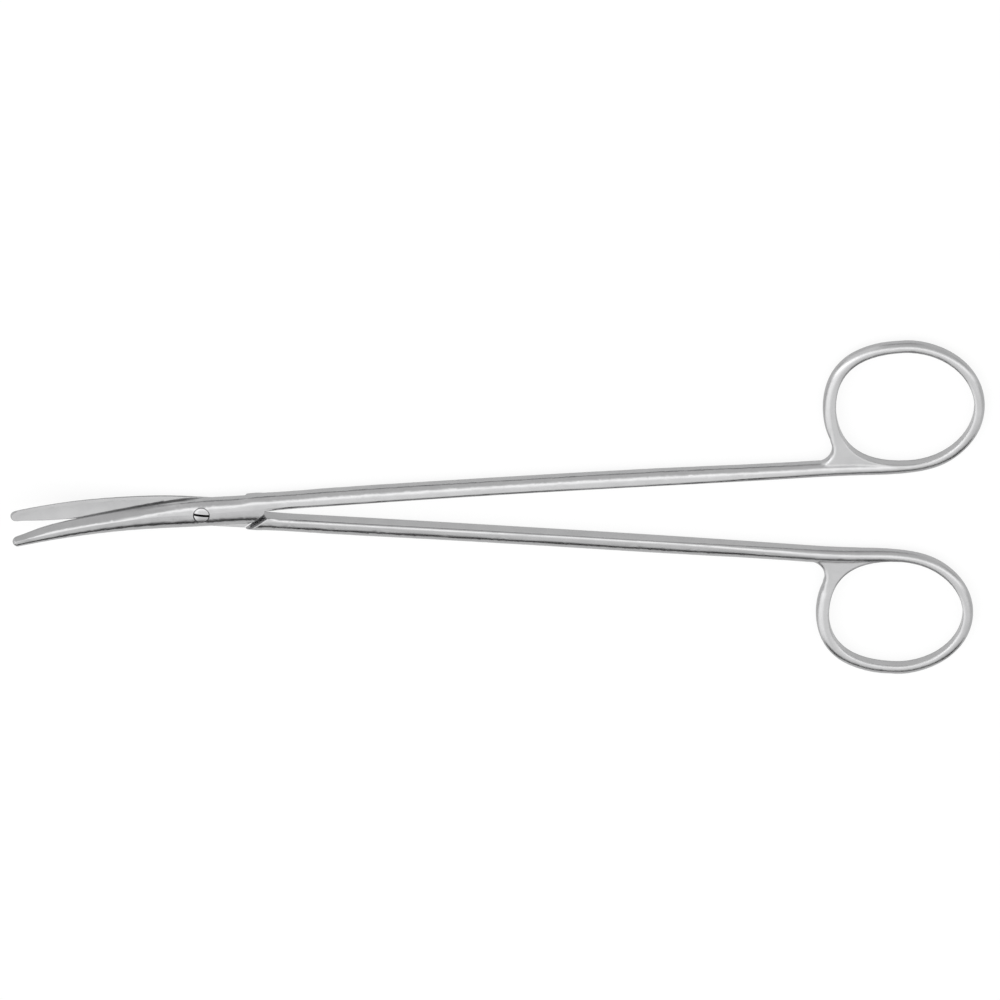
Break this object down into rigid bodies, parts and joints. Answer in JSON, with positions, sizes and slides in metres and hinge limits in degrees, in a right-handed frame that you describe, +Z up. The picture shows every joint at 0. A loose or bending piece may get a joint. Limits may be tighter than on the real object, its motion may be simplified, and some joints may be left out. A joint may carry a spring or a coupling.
{
  "type": "dissecting scissors",
  "caption": "Long slender dissecting scissors with curved hollow-ground blades, a lapped joint on a slotted screw, and oval finger rings.",
  "frame": {"origin": "where the pivot axis meets the flat ground on the underside of the joint, on which the scissors rest", "axes": "+X from the pivot toward the blade tips, midway between the two halves; +Z up along the pivot axis, the way the blades curve; +Y toward the ring of the back half"},
  "size_m": [0.2294, 0.0869, 0.0132],
  "materials": {
    "front_half": "satin",
    "back_half": "satin",
    "pivot_screw": "fine turned"
  },
  "bodies": {
    "back": {"back_half": "back_half", "pivot_screw": "pivot_screw"},
    "front": {"front_half": "front_half"}
  },
  "joints": [
    {"name": "pivot", "type": "hinge", "parent": "back", "child": "front", "pos_m": [0, 0, 0], "axis": [0, 0, 1], "range_deg": [-6.95, 83]}
  ]
}
